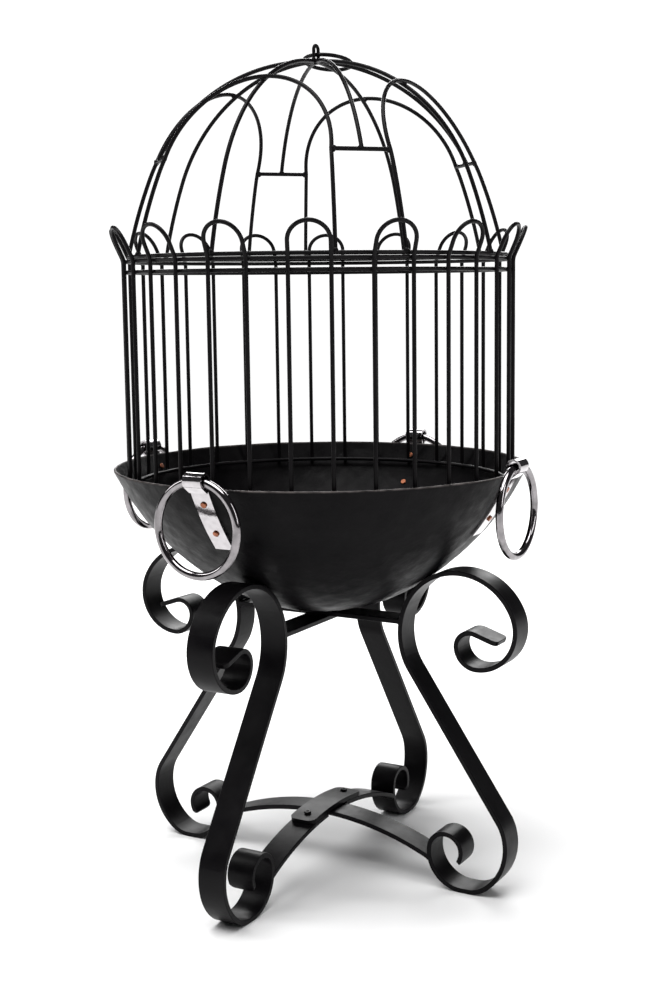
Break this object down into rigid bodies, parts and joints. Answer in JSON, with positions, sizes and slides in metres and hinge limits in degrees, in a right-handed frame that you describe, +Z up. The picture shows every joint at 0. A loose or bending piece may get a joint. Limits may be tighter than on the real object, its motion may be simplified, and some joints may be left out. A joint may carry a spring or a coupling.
{
  "type": "bird cage on stand",
  "caption": "Round wire bird cage with a domed, arched top, standing in a ring-handled steel bowl on a scroll-legged flat-bar stand.",
  "frame": {"origin": "on the floor, under the middle of the stand", "axes": "+Z up; -Y towards the front leg, +X towards the right leg"},
  "size_m": [0.4654, 0.4654, 0.875],
  "materials": {
    "stand_paint": "satin",
    "bowl_enamel": "satin",
    "wire_paint": "satin",
    "bolt_black": "satin",
    "chrome": "polished",
    "copper": "satin"
  },
  "bodies": {
    "stand": {"leg_front": "stand_paint", "leg_right": "stand_paint", "leg_back": "stand_paint", "leg_left": "stand_paint", "top_cross_long": "stand_paint", "top_cross_front": "stand_paint", "top_cross_back": "stand_paint", "brace_long": "stand_paint", "brace_front": "stand_paint", "brace_back": "stand_paint", "tie_plate": "stand_paint", "tie_bolts": "bolt_black", "tie_nuts": "bolt_black"},
    "bowl": {"bowl": "bowl_enamel", "handle_strap_front": "chrome", "handle_strap_right": "chrome", "handle_strap_back": "chrome", "handle_strap_left": "chrome", "strap_rivets": "copper"},
    "handle_ring_front": {"handle_ring_front": "chrome"},
    "handle_ring_right": {"handle_ring_right": "chrome"},
    "handle_ring_back": {"handle_ring_back": "chrome"},
    "handle_ring_left": {"handle_ring_left": "chrome"},
    "cage": {"cage_hairpin_01": "wire_paint", "cage_hairpin_02": "wire_paint", "cage_hairpin_03": "wire_paint", "cage_hairpin_04": "wire_paint", "cage_hairpin_05": "wire_paint", "cage_hairpin_06": "wire_paint", "cage_hairpin_07": "wire_paint", "cage_hairpin_08": "wire_paint", "cage_hairpin_09": "wire_paint", "cage_hairpin_10": "wire_paint", "cage_hairpin_11": "wire_paint", "cage_hairpin_12": "wire_paint", "cage_hairpin_13": "wire_paint", "cage_hairpin_14": "wire_paint", "cage_hairpin_15": "wire_paint", "cage_hairpin_16": "wire_paint", "cage_foot_ring": "wire_paint", "cage_lower_ring": "wire_paint", "cage_upper_ring": "wire_paint"},
    "dome": {"dome_base_ring": "wire_paint", "dome_hoop": "wire_paint", "dome_rib_front": "wire_paint", "dome_rib_back": "wire_paint", "dome_arch_front": "wire_paint", "dome_arch_right": "wire_paint", "dome_arch_back": "wire_paint", "dome_arch_left": "wire_paint", "dome_tie_bars": "wire_paint", "dome_upper_ribs": "wire_paint", "top_eye": "wire_paint"},
    "hanging_ring": {"hanging_ring": "wire_paint"}
  },
  "joints": [
    {"name": "bowl_lift", "type": "slide", "parent": "stand", "child": "bowl", "axis": [0, 0, 1], "range_m": [0, 0.15]},
    {"name": "cage_lift", "type": "slide", "parent": "bowl", "child": "cage", "axis": [0, 0, 1], "range_m": [0, 0.25]},
    {"name": "dome_lift", "type": "slide", "parent": "cage", "child": "dome", "axis": [0, 0, 1], "range_m": [0, 0.25]},
    {"name": "ring_swing_front", "type": "hinge", "parent": "bowl", "child": "handle_ring_front", "pos_m": [-0.00392, -0.2246, 0.44892], "axis": [-0.9998, 0.0175, 0], "range_deg": [-15, 115]},
    {"name": "ring_swing_right", "type": "hinge", "parent": "bowl", "child": "handle_ring_right", "pos_m": [0.22462, 0.00196, 0.44892], "axis": [0.0087, -1, 0], "range_deg": [-15, 115]},
    {"name": "ring_swing_back", "type": "hinge", "parent": "bowl", "child": "handle_ring_back", "pos_m": [0, 0.22463, 0.44892], "axis": [1, 0, 0], "range_deg": [-15, 115]},
    {"name": "ring_swing_left", "type": "hinge", "parent": "bowl", "child": "handle_ring_left", "pos_m": [-0.22462, -0.00196, 0.44892], "axis": [-0.0087, 1, 0], "range_deg": [-15, 115]},
    {"name": "hanging_ring_swing", "type": "hinge", "parent": "dome", "child": "hanging_ring", "pos_m": [0, 0, 0.864], "axis": [1, 0, 0], "range_deg": [0, 159]}
  ]
}
